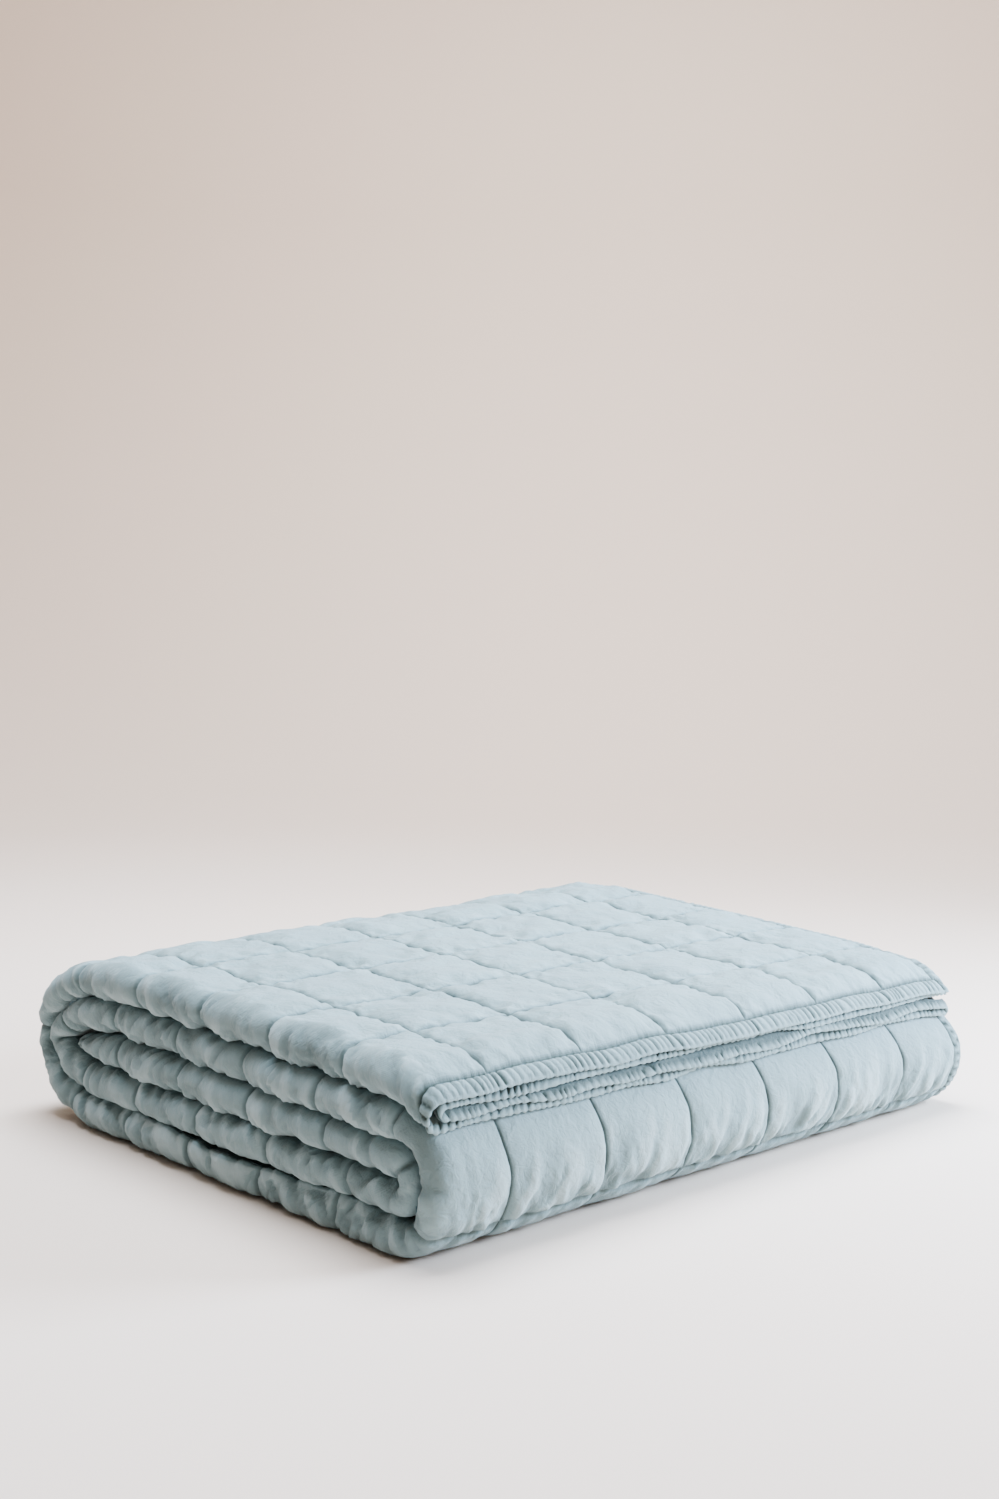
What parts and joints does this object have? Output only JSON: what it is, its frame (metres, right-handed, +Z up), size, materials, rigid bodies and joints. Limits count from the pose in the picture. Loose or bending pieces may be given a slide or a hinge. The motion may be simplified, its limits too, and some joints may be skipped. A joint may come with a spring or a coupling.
{
  "type": "folded quilted bed cover",
  "caption": "Square-quilted cotton bed cover, folded lengthwise into four layers and then rolled flat into a low stack.",
  "frame": {"origin": "middle of the base, on the surface that the folded cover rests on", "axes": "+X along the front edge, towards the side with the free hemmed edges; +Y from the front fold to the back fold; +Z up"},
  "size_m": [0.6048, 0.5298, 0.1507],
  "materials": {
    "washed_cotton": "matte, stone washed"
  },
  "bodies": {
    "root": {"quilted_cover": "washed_cotton"}
  },
  "joints": []
}
